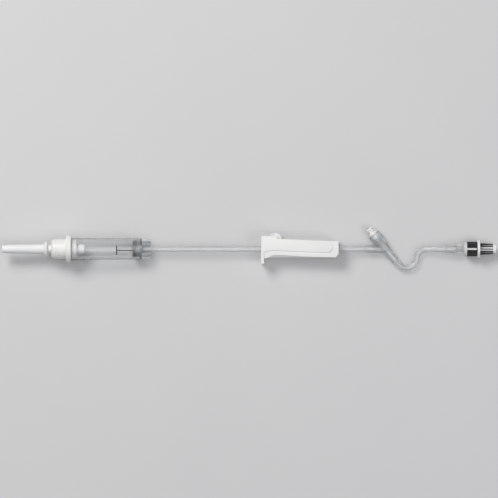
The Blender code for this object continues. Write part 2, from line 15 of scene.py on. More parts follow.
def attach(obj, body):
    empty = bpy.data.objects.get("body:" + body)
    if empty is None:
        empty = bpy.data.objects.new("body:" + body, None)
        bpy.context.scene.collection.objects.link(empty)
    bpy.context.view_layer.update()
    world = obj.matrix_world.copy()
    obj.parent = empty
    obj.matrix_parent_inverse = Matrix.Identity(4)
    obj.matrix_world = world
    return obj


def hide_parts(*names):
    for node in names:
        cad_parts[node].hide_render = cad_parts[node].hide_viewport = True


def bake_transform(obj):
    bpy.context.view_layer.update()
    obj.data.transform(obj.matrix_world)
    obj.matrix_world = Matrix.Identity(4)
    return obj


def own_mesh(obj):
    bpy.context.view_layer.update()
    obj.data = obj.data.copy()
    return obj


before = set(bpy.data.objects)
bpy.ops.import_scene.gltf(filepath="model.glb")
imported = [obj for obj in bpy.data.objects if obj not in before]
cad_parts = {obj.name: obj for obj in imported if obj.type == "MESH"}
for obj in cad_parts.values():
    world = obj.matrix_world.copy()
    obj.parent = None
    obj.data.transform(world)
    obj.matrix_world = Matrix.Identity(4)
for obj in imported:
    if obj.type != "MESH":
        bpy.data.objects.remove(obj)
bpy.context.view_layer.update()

MM = 0.001
K = 0.706
AX_U, AY_U = 249.255, 249.0
SHIFT_Y = -2.7753


def ux(u):
    return (u - AX_U) * K


def uy(v):
    return (AY_U - v) * K


def cu(u):
    return (u - 71.0) * K


# ---------------------------------------------------------------- sizes shared with the CAD (mm)
GAP = 0.25
TUBE_R, TUBE_BORE = 2.05, 1.50
SOCKET_R = TUBE_R + 0.15
SPIKE_R = 2.80
CAP_TIP_R, CAP_MOUTH_R, CAP_RIM_R, CAP_WALL = 2.85, 3.56, 5.45, 0.60
HUB_R, FLANGE_R = 7.00, 9.70
BARREL_R0, BARREL_R1, BARREL_WALL = 7.70, 7.32, 0.90
PLUG_R, NOZZLE_R, NOZZLE_BORE = 6.45, 3.55, 1.30
OUTLET_R = 7.35
CLAMP_W = 13.5
ZC = CLAMP_W / 2
CHANNEL_W, WALL_FACE = 9.4, 0.55
ROLLER_R, ROLLER_W, STUB_R, STUB_OUT = 4.65, 8.6, 0.62, 1.25
ROLLER_OPEN = (ux(275.2), uy(239.15))
ROLLER_SHUT = (ux(322.0), uy(246.0))
Y_ANGLE = math.radians(-50.3)
Y_TOP = (ux(368.9), uy(228.5))
Y_Z, Y_END = 4.55, 29.4
LUER_Z = 6.25
CHAMBER_X = ux(71.0)
BARREL_LEN = (140.1 - 71.0) * K
TILT = math.atan((FLANGE_R - OUTLET_R + 0.05) / (BARREL_LEN + GAP + 0.9 + 0.4))
CHAMBER_Z = FLANGE_R * math.cos(TILT) - 0.4 * math.sin(TILT)

SET = Matrix.Translation((0, SHIFT_Y, 0))
CHAMBER = SET @ Matrix.Translation((CHAMBER_X, 0, CHAMBER_Z)) @ Matrix.Rotation(TILT, 4, "Y")
VALVE = SET @ Matrix.Translation((Y_TOP[0], Y_TOP[1], Y_Z)) @ Matrix.Rotation(Y_ANGLE, 4, "Z")
LUER = SET @ Matrix.Translation((0, 0, LUER_Z))
ROLLER = SET @ Matrix.Translation((ROLLER_OPEN[0], ROLLER_OPEN[1], ZC))
TO_M = Matrix.Diagonal((MM, MM, MM, 1))

scene = bpy.context.scene


# ================================================================ finishes
def fresh(name):
    m = bpy.data.materials.new(name)
    m.use_nodes = True
    nt = m.node_tree
    nt.nodes.clear()
    out = nt.nodes.new("ShaderNodeOutputMaterial")
    coord = nt.nodes.new("ShaderNodeTexCoord")
    return m, nt, out, coord


def noise(nt, coord, scale, detail=3.0, rough=0.55, stretch=None):
    n = nt.nodes.new("ShaderNodeTexNoise")
    n.inputs["Scale"].default_value = scale
    n.inputs["Detail"].default_value = detail
    n.inputs["Roughness"].default_value = rough
    source = coord.outputs["Object"]
    if stretch:
        mp = nt.nodes.new("ShaderNodeMapping")
        mp.inputs["Scale"].default_value = stretch
        nt.links.new(source, mp.inputs["Vector"])
        source = mp.outputs["Vector"]
    nt.links.new(source, n.inputs["Vector"])
    return n.outputs["Fac"]


def spread(nt, value, low, high, from_low=0.3, from_high=0.7):
    r = nt.nodes.new("ShaderNodeMapRange")
    r.inputs["From Min"].default_value = from_low
    r.inputs["From Max"].default_value = from_high
    r.inputs["To Min"].default_value = low
    r.inputs["To Max"].default_value = high
    nt.links.new(value, r.inputs["Value"])
    return r.outputs["Result"]


def tones(nt, factor, a, b):
    mix = nt.nodes.new("ShaderNodeMix")
    mix.data_type = "RGBA"
    mix.inputs["A"].default_value = (*a, 1)
    mix.inputs["B"].default_value = (*b, 1)
    nt.links.new(factor, mix.inputs["Factor"])
    return mix.outputs["Result"]


def bump(nt, height, strength, distance, below=None):
    b = nt.nodes.new("ShaderNodeBump")
    b.inputs["Strength"].default_value = strength
    b.inputs["Distance"].default_value = distance
    nt.links.new(height, b.inputs["Height"])
    if below is not None:
        nt.links.new(below, b.inputs["Normal"])
    return b.outputs["Normal"]


def moulded(name, colour, rough, tone=0.035, grain=0.25, depth=0.0, ior=1.50, flow=(1, 1, 1)):
    """Injection-moulded plastic: slow drift of tone, faint flow marks along the piece, fine mould grain."""
    m, nt, out, coord = fresh(name)
    b = nt.nodes.new("ShaderNodeBsdfPrincipled")
    drift = noise(nt, coord, 70, 2.0, 0.5, flow)
    dark = [c * (1 - tone) for c in colour]
    light = [min(1.0, c * (1 + tone * 0.6)) for c in colour]
    nt.links.new(tones(nt, spread(nt, drift, 0.0, 1.0), dark, light), b.inputs["Base Color"])
    fine = noise(nt, coord, 2600, 2.0, 0.6)
    nt.links.new(spread(nt, noise(nt, coord, 420, 4.0, 0.6), rough - 0.06, rough + 0.08), b.inputs["Roughness"])
    n1 = bump(nt, fine, grain, 0.00002)
    n2 = bump(nt, drift, 0.10, 0.0004, n1)
    nt.links.new(n2, b.inputs["Normal"])
    b.inputs["IOR"].default_value = ior
    if depth:
        b.inputs["Subsurface Weight"].default_value = depth
        b.inputs["Subsurface Radius"].default_value = (1.0, 0.95, 0.85)
        b.inputs["Subsurface Scale"].default_value = 0.0012
    nt.links.new(b.outputs["BSDF"], out.inputs["Surface"])
    return m


def clear(name, tint, rough, ior, haze=0.0, streak=(1, 1, 1), grain=0.02, body=0.0, rim=0.75, milk_grey=0.97, veil=0.0):
    """Clear plastic: refracting, with faint draw lines; lamps and the light off other things pass straight
    through it, darkened where they cross the surface at a glancing angle: painted shade that draws dark
    edges into its shadow. haze mixes in a milky share; rim is the share of a dark grey that is mixed in
    where the surface is seen at a glancing angle, painted shade that draws dark outlines along the edges;
    body is how fast the plastic itself takes light away, per metre. veil is the share of light that the
    outermost skin scatters a little on its way through."""
    m, nt, out, coord = fresh(name)
    b = nt.nodes.new("ShaderNodeBsdfPrincipled")
    b.inputs["Transmission Weight"].default_value = 1.0
    b.inputs["IOR"].default_value = ior
    drift = noise(nt, coord, 90, 3.0, 0.5, streak)
    nt.links.new(tones(nt, spread(nt, drift, 0.0, 1.0), [c * 0.985 for c in tint], tint), b.inputs["Base Color"])
    nt.links.new(spread(nt, noise(nt, coord, 600, 3.0, 0.6, streak), 0.0, rough), b.inputs["Roughness"])
    nt.links.new(bump(nt, drift, grain, 0.0002), b.inputs["Normal"])
    shader = b.outputs["BSDF"]
    path = nt.nodes.new("ShaderNodeLightPath")
    if veil:
        soft = nt.nodes.new("ShaderNodeBsdfPrincipled")
        soft.inputs["Transmission Weight"].default_value = 1.0
        soft.inputs["IOR"].default_value = ior
        soft.inputs["Roughness"].default_value = 0.285
        soft.inputs["Base Color"].default_value = (*tint, 1)
        mix = nt.nodes.new("ShaderNodeMixShader")
        mix.inputs["Fac"].default_value = veil
        nt.links.new(shader, mix.inputs[1])
        nt.links.new(soft.outputs["BSDF"], mix.inputs[2])
        first = nt.nodes.new("ShaderNodeMixShader")
        nt.links.new(path.outputs["Is Camera Ray"], first.inputs["Fac"])
        nt.links.new(shader, first.inputs[1])
        nt.links.new(mix.outputs["Shader"], first.inputs[2])
        shader = first.outputs["Shader"]
    slant = nt.nodes.new("ShaderNodeLayerWeight")
    slant.inputs["Blend"].default_value = 0.5
    slant = slant.outputs["Facing"]
    # The second share is a dark grey mixed in where the surface is seen at a glancing angle: painted shade that draws
    # the dark outlines of clear parts.
    for share, grey in ((spread(nt, drift, haze * 0.93, haze * 1.07), milk_grey), (spread(nt, slant, 0.0, rim, 0.46, 0.92), 0.16)):
        milk_and_painted_edge = nt.nodes.new("ShaderNodeBsdfPrincipled")
        milk_and_painted_edge.inputs["Base Color"].default_value = (*[min(1, c * grey) for c in tint], 1)
        milk_and_painted_edge.inputs["Roughness"].default_value = 0.35
        mix = nt.nodes.new("ShaderNodeMixShader")
        nt.links.new(share, mix.inputs["Fac"])
        nt.links.new(shader, mix.inputs[1])
        nt.links.new(milk_and_painted_edge.outputs["BSDF"], mix.inputs[2])
        shader = mix.outputs["Shader"]
    through = nt.nodes.new("ShaderNodeBsdfTransparent")
    straight = [c * (0.97 - 0.3 * haze) for c in tint]
    # What passes straight through darkens towards glancing angles: painted shade that gives its shadow, and what
    # diffuse light sees through it, dark edges.
    nt.links.new(tones(nt, spread(nt, slant, 0.0, 1.0, 0.35, 0.95), straight, [c * 0.35 for c in straight]), through.inputs["Color"])
    for kind in ("Is Diffuse Ray", "Is Shadow Ray"):
        last = nt.nodes.new("ShaderNodeMixShader")
        nt.links.new(path.outputs[kind], last.inputs["Fac"])
        nt.links.new(shader, last.inputs[1])
        nt.links.new(through.outputs["BSDF"], last.inputs[2])
        shader = last.outputs["Shader"]
    nt.links.new(shader, out.inputs["Surface"])
    if body:
        deep = nt.nodes.new("ShaderNodeVolumeAbsorption")
        deep.inputs["Color"].default_value = (0.73, 0.76, 0.77, 1)
        deep.inputs["Density"].default_value = body / 0.25
        nt.links.new(deep.outputs["Volume"], out.inputs["Volume"])
    return m


def woven(name, colour, pitch):
    """Fine square-woven mesh: threads in two directions, seen as small squares."""
    m, nt, out, coord = fresh(name)
    b = nt.nodes.new("ShaderNodeBsdfPrincipled")
    waves = []
    for axis in ("Y", "Z"):
        w = nt.nodes.new("ShaderNodeTexWave")
        w.bands_direction = axis
        w.inputs["Scale"].default_value = 1 / pitch / 3.0
        w.inputs["Distortion"].default_value = 0.0
        nt.links.new(coord.outputs["Object"], w.inputs["Vector"])
        waves.append(w.outputs["Fac"])
    top = nt.nodes.new("ShaderNodeMath")
    top.operation = "MAXIMUM"
    nt.links.new(waves[0], top.inputs[0])
    nt.links.new(waves[1], top.inputs[1])
    nt.links.new(tones(nt, top.outputs["Value"], [c * 0.55 for c in colour], colour), b.inputs["Base Color"])
    nt.links.new(bump(nt, top.outputs["Value"], 0.6, 0.00008), b.inputs["Normal"])
    nt.links.new(spread(nt, noise(nt, coord, 900), 0.5, 0.7), b.inputs["Roughness"])
    nt.links.new(b.outputs["BSDF"], out.inputs["Surface"])
    return m


POLY = moulded("natural_polythene_cap", (0.86, 0.87, 0.86), 0.42, depth=0.35, flow=(0.3, 1, 1))
ABS = moulded("white_abs_spike", (0.84, 0.84, 0.82), 0.30, depth=0.10)
INNER = moulded("white_drop_former", (0.87, 0.88, 0.87), 0.34, depth=0.05)
CLAMP_WHITE = moulded("white_clamp_body", (0.85, 0.85, 0.84), 0.38, grain=0.4, flow=(0.35, 1, 1))
ROLLER_WHITE = moulded("white_roller_wheel", (0.80, 0.81, 0.82), 0.36, grain=0.3)
VALVE_WHITE = moulded("white_valve_housing", (0.83, 0.83, 0.83), 0.26)
SEAL = moulded("silicone_valve_seal", (0.56, 0.63, 0.68), 0.52, depth=0.4, ior=1.41)
BLACK = moulded("black_luer_grip", (0.018, 0.018, 0.020), 0.42, tone=0.25, grain=0.5)
NUT_GREY = moulded("pale_luer_nut", (0.66, 0.67, 0.68), 0.34)
LUER_WHITE = moulded("white_luer_cap", (0.86, 0.86, 0.85), 0.36, depth=0.12)
# Charcoal for the cap's ribs: painted shade, so the ribbed band reads dark as shaded grooves between ribs do.
CAP_RIB_SHADE = moulded("cap_ribs_painted_shade", (0.030, 0.030, 0.033), 0.46, tone=0.2, grain=0.5)
FILTER = woven("grey_filter_mesh", (0.15, 0.15, 0.15), 0.00035)
FILTER_RING = moulded("grey_filter_ring", (0.12, 0.12, 0.12), 0.45)
PRINT = moulded("dark_level_mark", (0.020, 0.020, 0.022), 0.5, tone=0.3)
# Each clear finish gets painted shade at glancing angles: rim is the share of a dark grey that draws its outlines.
BARREL_CLEAR = clear("clear_chamber_wall", (0.985, 0.99, 0.99), 0.003, 1.53, haze=0.04, streak=(0.05, 1, 1), grain=0.0018, body=14, veil=0.25)
RIGID_CLEAR = clear("clear_rigid_fitting", (0.97, 0.98, 0.985), 0.003, 1.50, haze=0.13, grain=0.01, body=30, rim=0.85, milk_grey=0.93, veil=0.18)
TUBE_CLEAR = clear("clear_pvc_tube", (0.98, 0.985, 0.985), 0.003, 1.53, haze=0.13, streak=(0.04, 1, 1), grain=0.0015, body=35, rim=0.9, milk_grey=0.97, veil=0.18)


# ================================================================ modelling helpers
def rounded(points, closed=True):
    """A polygon whose corners given as (x, y, radius) become arcs; other corners stay."""
    out = []
    n = len(points)
    for i, p in enumerate(points):
        b = Vector(p[:2])
        if len(p) < 3 or p[2] <= 0:
            out.append((b.x, b.y))
            continue
        a, c = Vector(points[i - 1][:2]), Vector(points[(i + 1) % n][:2])
        u, v = a - b, c - b
        lu, lv = u.length, v.length
        if lu < 1e-6 or lv < 1e-6:
            out.append((b.x, b.y))
            continue
        u, v = u / lu, v / lv
        ang = u.angle(v)
        if ang > math.radians(176) or ang < math.radians(3):
            out.append((b.x, b.y))
            continue
        t = min(p[2] / math.tan(ang / 2), 0.48 * lu, 0.48 * lv)
        r = t * math.tan(ang / 2)
        mid = b + (u + v).normalized() * (r / math.sin(ang / 2))
        s, e = b + u * t - mid, b + v * t - mid
        a0, a1 = math.atan2(s.y, s.x), math.atan2(e.y, e.x)
        d = (a1 - a0 + math.pi) % math.tau - math.pi
        count = max(2, math.ceil(abs(d) / math.radians(18)))
        for k in range(count + 1):
            w = a0 + d * k / count
            out.append((mid.x + r * math.cos(w), mid.y + r * math.sin(w)))
    return out


def mesh_object(name, bm):
    mesh = bpy.data.meshes.new(name)
    bm.to_mesh(mesh)
    bm.free()
    o = bpy.data.objects.new(name, mesh)
    scene.collection.objects.link(o)
    return o


def lathe(name, profile, segs=96, relief=None):
    """Solid of revolution about X; profile is its closed half section (x, r[, corner radius]), and
    relief(x, r, angle) gives the radius of a point."""
    pts = rounded(profile)
    bm = bmesh.new()
    rings = []
    for x, r in pts:
        if r < 1e-5:
            rings.append([bm.verts.new((x, 0, 0))])
            continue
        ring = []
        for k in range(segs):
            a = math.tau * k / segs
            rr = relief(x, r, a) if relief else r
            ring.append(bm.verts.new((x, rr * math.cos(a), rr * math.sin(a))))
        rings.append(ring)
    n = len(pts)
    for i in range(n):
        a, b = rings[i], rings[(i + 1) % n]
        if len(a) == 1 and len(b) == 1:
            continue
        for k in range(segs):
            j = (k + 1) % segs
            if len(a) == 1:
                bm.faces.new((a[0], b[j], b[k]))
            elif len(b) == 1:
                bm.faces.new((a[k], a[j], b[0]))
            else:
                bm.faces.new((a[k], a[j], b[j], b[k]))
    bmesh.ops.recalc_face_normals(bm, faces=bm.faces)
    return mesh_object(name, bm)


def prism(name, outline, z0, z1, edge=0.0, segs=3, both=True):
    """A flat outline (x, y[, corner radius]) from z0 to z1 with rounded rims."""
    pts = rounded(outline)
    clean = []
    for p in pts:
        if not clean or math.dist(p, clean[-1]) > 1e-4:
            clean.append(p)
    if math.dist(clean[0], clean[-1]) < 1e-4:
        clean.pop()
    bm = bmesh.new()
    low = [bm.verts.new((x, y, z0)) for x, y in clean]
    face = bm.faces.new(low)
    made = bmesh.ops.extrude_face_region(bm, geom=[face])
    up = [g for g in made["geom"] if isinstance(g, bmesh.types.BMVert)]
    bmesh.ops.translate(bm, verts=up, vec=(0, 0, z1 - z0))
    bmesh.ops.recalc_face_normals(bm, faces=bm.faces)
    if edge:
        rim = [e for e in bm.edges if abs(e.verts[0].co.z - e.verts[1].co.z) < 1e-6
               and (both or e.verts[0].co.z > (z0 + z1) / 2)]
        bmesh.ops.bevel(bm, geom=rim, offset=edge, offset_type="OFFSET", segments=segs, profile=0.5, affect="EDGES", clamp_overlap=True)
    return mesh_object(name, bm)


def box(name, lo, hi, edge=0.0, segs=2):
    bm = bmesh.new()
    bmesh.ops.create_cube(bm, size=1.0)
    size = [b - a for a, b in zip(lo, hi)]
    mid = [(a + b) / 2 for a, b in zip(lo, hi)]
    bmesh.ops.transform(bm, matrix=Matrix.Translation(mid) @ Matrix.Diagonal((*size, 1)), verts=bm.verts)
    if edge:
        bmesh.ops.bevel(bm, geom=bm.edges[:], offset=edge, segments=segs, profile=0.5, affect="EDGES")
    return mesh_object(name, bm)


def hull(name, points):
    bm = bmesh.new()
    verts = [bm.verts.new(p) for p in points]
    made = bmesh.ops.convex_hull(bm, input=verts)
    bmesh.ops.recalc_face_normals(bm, faces=bm.faces)
    return mesh_object(name, bm)


def bake(obj):
    """Applies obj's modifiers to its mesh."""
    bpy.context.view_layer.update()
    graph = bpy.context.evaluated_depsgraph_get()
    mesh = bpy.data.meshes.new_from_object(obj.evaluated_get(graph))
    old = obj.data
    obj.modifiers.clear()
    obj.data = mesh
    bpy.data.meshes.remove(old)
    return obj


def combine(obj, other, how):
    m = obj.modifiers.new(how.lower(), "BOOLEAN")
    m.operation = how
    m.solver = "EXACT"
    m.object = other
    bake(obj)
    bpy.data.objects.remove(other, do_unlink=True)
    bm = bmesh.new()
    bm.from_mesh(obj.data)
    bmesh.ops.remove_doubles(bm, verts=bm.verts, dist=0.0008)
    bmesh.ops.dissolve_degenerate(bm, edges=bm.edges, dist=0.0005)
    bm.to_mesh(obj.data)
    bm.free()
    return obj


def soften(obj, width, segs=2, angle=35):
    """Breaks every sharp edge, as a mould does."""
    m = obj.modifiers.new("edges", "BEVEL")
    m.width = width
    m.segments = segs
    m.limit_method = "ANGLE"
    m.angle_limit = math.radians(angle)
    m.use_clamp_overlap = True
    m.harden_normals = False
    return bake(obj)


def turn(obj, degrees, axis="X"):
    obj.data.transform(Matrix.Rotation(math.radians(degrees), 4, axis))
    return obj


def place(obj, where, body, mats, nodes=(), angle=32):
    """Puts obj, made in mm in the frame `where`, into the row frame; it rides on body and stands for nodes."""
    obj.data.transform(TO_M @ where)
    obj.data.materials.clear()
    for m in mats if isinstance(mats, (list, tuple)) else [mats]:
        obj.data.materials.append(m)
    obj.data.shade_smooth()
    obj.data.set_sharp_from_angle(angle=math.radians(angle))
    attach(obj, body)
    if nodes:
        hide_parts(*nodes)
    return obj


def sweep(name, path, r_out, r_in, segs=64):
    """A hollow tube along path (points in mm), closed by flat rings at both ends."""
    pts = [Vector(p) for p in path]
    tangents = []
    for i in range(len(pts)):
        a, b = pts[max(0, i - 1)], pts[min(len(pts) - 1, i + 1)]
        tangents.append((b - a).normalized())
    up = Vector((0, 0, 1))
    side = up.cross(tangents[0]).normalized()
    bm = bmesh.new()
    outer, inner = [], []
    for p, t in zip(pts, tangents):
        side = (side - t * side.dot(t)).normalized()
        over = t.cross(side)
        for rings, r in ((outer, r_out), (inner, r_in)):
            rings.append([bm.verts.new(p + side * (r * math.cos(a)) + over * (r * math.sin(a)))
                          for a in [math.tau * k / segs for k in range(segs)]])
    for rings in (outer, inner):
        for a, b in zip(rings, rings[1:]):
            for k in range(segs):
                j = (k + 1) % segs
                bm.faces.new((a[k], a[j], b[j], b[k]))
    for end in (0, -1):
        for k in range(segs):
            j = (k + 1) % segs
            bm.faces.new((outer[end][k], outer[end][j], inner[end][j], inner[end][k]))
    bmesh.ops.recalc_face_normals(bm, faces=bm.faces)
    return mesh_object(name, bm)


# ================================================================ camera, light and floor
cam_data = bpy.data.cameras.new("camera")
cam_data.lens = 300
cam_data.sensor_width = 36
camera = bpy.data.objects.new("camera", cam_data)
scene.collection.objects.link(camera)
camera.location = ((249.0 - AX_U) * K * MM, SHIFT_Y * MM, (7.0 + 498 * K / 0.12) * MM)
camera.rotation_euler = (0, 0, 0)
scene.camera = camera


def softbox(name, at, size, power, colour=(1, 1, 1), aim=(0, 0, 0)):
    light = bpy.data.lights.new(name, "AREA")
    light.shape = "RECTANGLE"
    light.size, light.size_y = size
    light.energy = power
    light.color = colour
    o = bpy.data.objects.new(name, light)
    scene.collection.objects.link(o)
    o.location = at
    o.rotation_euler = (Vector(aim) - Vector(at)).to_track_quat("-Z", "Y").to_euler()
    return o


# The lamps' light reaches what is behind clear plastic as shadow rays do, so refracted rays leave them out.
for lamp in (
    softbox("key", (-0.75, 0.95, 1.25), (0.8, 0.6), 18.2, (1.0, 0.985, 0.965)),
    softbox("fill", (1.1, -0.5, 1.3), (0.9, 0.9), 5.4, (0.96, 0.98, 1.0)),
):
    lamp.visible_transmission = False

world = bpy.data.worlds.new("studio")
scene.world = world
world.use_nodes = True
wn = world.node_tree
wn.nodes.clear()
w_out = wn.nodes.new("ShaderNodeOutputWorld")
w_bg = wn.nodes.new("ShaderNodeBackground")
w_co = wn.nodes.new("ShaderNodeTexCoord")
w_sep = wn.nodes.new("ShaderNodeSeparateXYZ")
w_ramp = wn.nodes.new("ShaderNodeValToRGB")
ramp = w_ramp.color_ramp
ramp.elements[0].position, ramp.elements[0].color = 0.0, (0.05, 0.051, 0.055, 1)
ramp.elements[1].position, ramp.elements[1].color = 1.0, (1.50, 1.50, 1.50, 1)
for at, grey in ((0.62, 0.07), (0.84, 0.40), (0.93, 1.2)):
    ramp.elements.new(at).color = (grey, grey, grey * 1.03, 1)
w_path = wn.nodes.new("ShaderNodeLightPath")
w_mix = wn.nodes.new("ShaderNodeMix")
w_mix.data_type = "RGBA"
w_mix.inputs["B"].default_value = (0.72, 0.73, 0.74, 1)
wn.links.new(w_co.outputs["Generated"], w_sep.inputs["Vector"])
wn.links.new(w_sep.outputs["Z"], w_ramp.inputs["Fac"])
wn.links.new(w_ramp.outputs["Color"], w_mix.inputs["A"])
wn.links.new(w_path.outputs["Is Camera Ray"], w_mix.inputs["Factor"])
wn.links.new(w_mix.outputs["Result"], w_bg.inputs["Color"])
w_bg.inputs["Strength"].default_value = 1.0
wn.links.new(w_bg.outputs["Background"], w_out.inputs["Surface"])
world.cycles.sampling_method = "NONE"

bm = bmesh.new()
bmesh.ops.create_grid(bm, x_segments=4, y_segments=4, size=4.0)
floor = mesh_object("floor", bm)
floor.location.z = -0.0001
fm, fnt, fout, fco = fresh("pale_table")
fb = fnt.nodes.new("ShaderNodeBsdfPrincipled")
fnt.links.new(tones(fnt, spread(fnt, noise(fnt, fco, 9.0, 4.0), 0.0, 1.0), (0.640, 0.643, 0.648), (0.655, 0.657, 0.662)), fb.inputs["Base Color"])
fnt.links.new(spread(fnt, noise(fnt, fco, 300.0, 3.0), 0.62, 0.72), fb.inputs["Roughness"])
fb.inputs["Specular IOR Level"].default_value = 0.2
fnt.links.new(fb.outputs["BSDF"], fout.inputs["Surface"])
floor.data.materials.append(fm)

scene.view_settings.view_transform = "Standard"

# ================================================================ tubing
def ease(t):
    t = max(0.0, min(1.0, t))
    return t * t * (3 - 2 * t)


IN0 = ux(365.0)
OUT_X = CHAMBER_X + cu(142.6) * math.cos(TILT)
OUT_Z = CHAMBER_Z - cu(142.6) * math.sin(TILT)
END_X = IN0 + 6.3


def main_z(x):
    """Height of the upper tube's middle: tilted out of the outlet, level through the clamp, down to the Y-site."""
    if x < ux(176.0):
        span = ux(176.0) - OUT_X
        t = (x - OUT_X) / span
        return ((2 * t**3 - 3 * t**2 + 1) * OUT_Z + (t**3 - 2 * t**2 + t) * -math.tan(TILT) * span
                + (-2 * t**3 + 3 * t**2) * ZC)
    return ZC + (Y_Z - ZC) * ease((x - ux(339.5)) / (IN0 - 0.8 - ux(339.5)))


def main_route(x0, x1, count):
    return [(x0 + (x1 - x0) * i / count, SHIFT_Y, main_z(x0 + (x1 - x0) * i / count)) for i in range(count + 1)]


def tube(name, route, body=None):
    o = sweep(name, route, TUBE_R, TUBE_BORE)
    o.data.transform(TO_M)
    o.data.materials.append(TUBE_CLEAR)
    o.data.shade_smooth()
    o.data.set_sharp_from_angle(angle=math.radians(40))
    if body:
        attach(o, body)
    return o


PINCH = ROLLER_SHUT[0]
REACH = 5.7                        # half of the length that the roller presses on

left_route = main_route(OUT_X, PINCH - REACH, 104)
tube_left = tube("tube_upper", left_route)
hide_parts("tube_main")
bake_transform(tube_left)

right_route = main_route(PINCH + REACH, END_X, 40)
tube_right = tube("tube_to_y_site", right_route)
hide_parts("tube_main")
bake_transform(tube_right)

for name, a, b, keep in (
    ("tube_pinch_a", -5.7, -4.7, 0.70), ("tube_pinch_b", -4.7, -3.3, 0.40), ("tube_pinch_c", -3.3, -2.0, 0.27),
    ("tube_pinch_d", -2.0, 2.0, 0.192),
    ("tube_pinch_e", 2.0, 3.3, 0.27), ("tube_pinch_f", 3.3, 4.7, 0.43), ("tube_pinch_g", 4.7, 5.7, 0.70),
):
    part = tube(name, main_route(PINCH + a, PINCH + b, 4), "clamp")
    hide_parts("tube_main")
    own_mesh(part)

# lower length: an S lying on the surface
BEND_R, BEND_EASE, EXIT_RUN = 7.2, 0.12, 2.4


def s_route(leg_heading, start, heading):
    x, y = start
    h = heading
    out = [(x, y)]

    def step(length, turning):
        nonlocal x, y, h
        x += length * math.cos(h + turning / 2)
        y += length * math.sin(h + turning / 2)
        h += turning
        out.append((x, y))

    for _ in range(10):
        step(EXIT_RUN / 10, 0.0)
    for total in (leg_heading - heading, -leg_heading):
        length = abs(total) * BEND_R / (1 - BEND_EASE)
        count = 160
        share = []
        for i in range(count):
            e = min((i + 0.5) / count, 1 - (i + 0.5) / count)
            share.append(1.0 if e >= BEND_EASE else 0.5 - 0.5 * math.cos(math.pi * e / BEND_EASE))
        for w in share:
            step(length / count, total * w / sum(share))
    return out


lc0, lc1, lf = ux(445.5), ux(456.5), ux(463.2)
d = Vector((math.cos(Y_ANGLE), math.sin(Y_ANGLE)))
start = Vector(Y_TOP) + d * 21.6
leave = Vector(Y_TOP) + d * Y_END
low_h, high_h = math.radians(45), math.radians(89)
for _ in range(40):
    mid_h = (low_h + high_h) / 2
    if s_route(mid_h, leave, Y_ANGLE)[-1][1] < 0:
        low_h = mid_h
    else:
        high_h = mid_h
bends = s_route(mid_h, leave, Y_ANGLE)
end_in = lc1 - 1.3
plan = [tuple(start + (leave - start) * i / 8) for i in range(8)]
travelled = 0.0
plan.append(bends[0])
for p, q in zip(bends, bends[1:]):
    travelled += math.dist(p, q)
    if travelled >= 0.72:
        plan.append(q)
        travelled = 0.0
first = plan[-1][0] + 0.8
for i in range(19):
    plan.append((first + (end_in - first) * i / 18, 0.0))
lengths = [0.0]
for p, q in zip(plan, plan[1:]):
    lengths.append(lengths[-1] + math.dist(p, q))
s_out = Y_END - 21.6
s_low0 = s_out + 12.5
s_low1 = s_low0 + 8.0
s_in = lengths[-1] - (end_in - lc0) - 1.0
LOW = TUBE_R + 0.12
lower_route = []
for (px, py), l in zip(plan, lengths):
    if l < s_low1:
        z = Y_Z + (LOW - Y_Z) * ease((l - s_out) / (s_low0 - s_out))
    else:
        z = LOW + (LUER_Z - LOW) * ease((l - s_low1) / (s_in - s_low1))
    lower_route.append((px, py + SHIFT_Y, z))
tube_low = tube("tube_s_bend", lower_route, "set")
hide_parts("tube_lower")

# ================================================================ spike cap
x0, x1, x2 = cu(2.4), cu(44.7), cu(47.5)
spike_cap = lathe("spike_cap_sleeve", [
    (x0, 0), (x0, CAP_TIP_R, 0.45), (x1, CAP_MOUTH_R, 0.6), (x1 + 0.35, CAP_RIM_R - 0.05, 0.35), (x1 + 1.10, CAP_RIM_R - 0.05, 0.35),
    (x2, CAP_RIM_R - 0.85, 0.15), (x2, SPIKE_R + 0.42, 0.3), (x1, CAP_MOUTH_R - CAP_WALL + 0.10),
    (x0 + 1.3, CAP_TIP_R - CAP_WALL + 0.03, 0.3), (x0 + 0.9, 1.4, 0.2), (x0 + 0.9, 0),
], 96)
place(spike_cap, CHAMBER, "spike_cap", POLY, ["spike_cap"])

# ================================================================ spike, hub and finger flange
tip, neck, hub0, hub1 = cu(6.5), cu(47.5), cu(51.4), cu(66.1)
spike = lathe("piercing_spike", [
    (tip, 0.25), (tip + 1.2, 0.72), (tip + 3.5, 1.45, 4), (tip + 8.0, 2.05, 8), (cu(25), 2.36, 10), (cu(43), 2.68, 6), (neck, SPIKE_R + 0.02),
    (hub0, SPIKE_R + 0.02, 0.35), (hub0, HUB_R, 2.35), (hub1, HUB_R, 0.35),
    (hub1, FLANGE_R, 0.45), (0, FLANGE_R, 0.45), (0, 5.60, 0.15),
    (hub0 + 3.2, 5.60, 1.6), (hub0 + 1.9, 3.0, 0.5), (-1.2, 2.70, 0.25), (-1.2, 1.15, 0.15),
    (tip + 2.5, 1.05), (tip, 0.20),
], 96)
cut = box("cut", (-9.5, 0, -5), (9.5, 8, 5))
cut.data.transform(Matrix.Translation((tip + 4.4, 0.35, 0)) @ Matrix.Rotation(math.radians(14.5), 4, "Z"))
combine(spike, cut, "DIFFERENCE")
place(spike, CHAMBER, "set", ABS, ["spike"], 30)

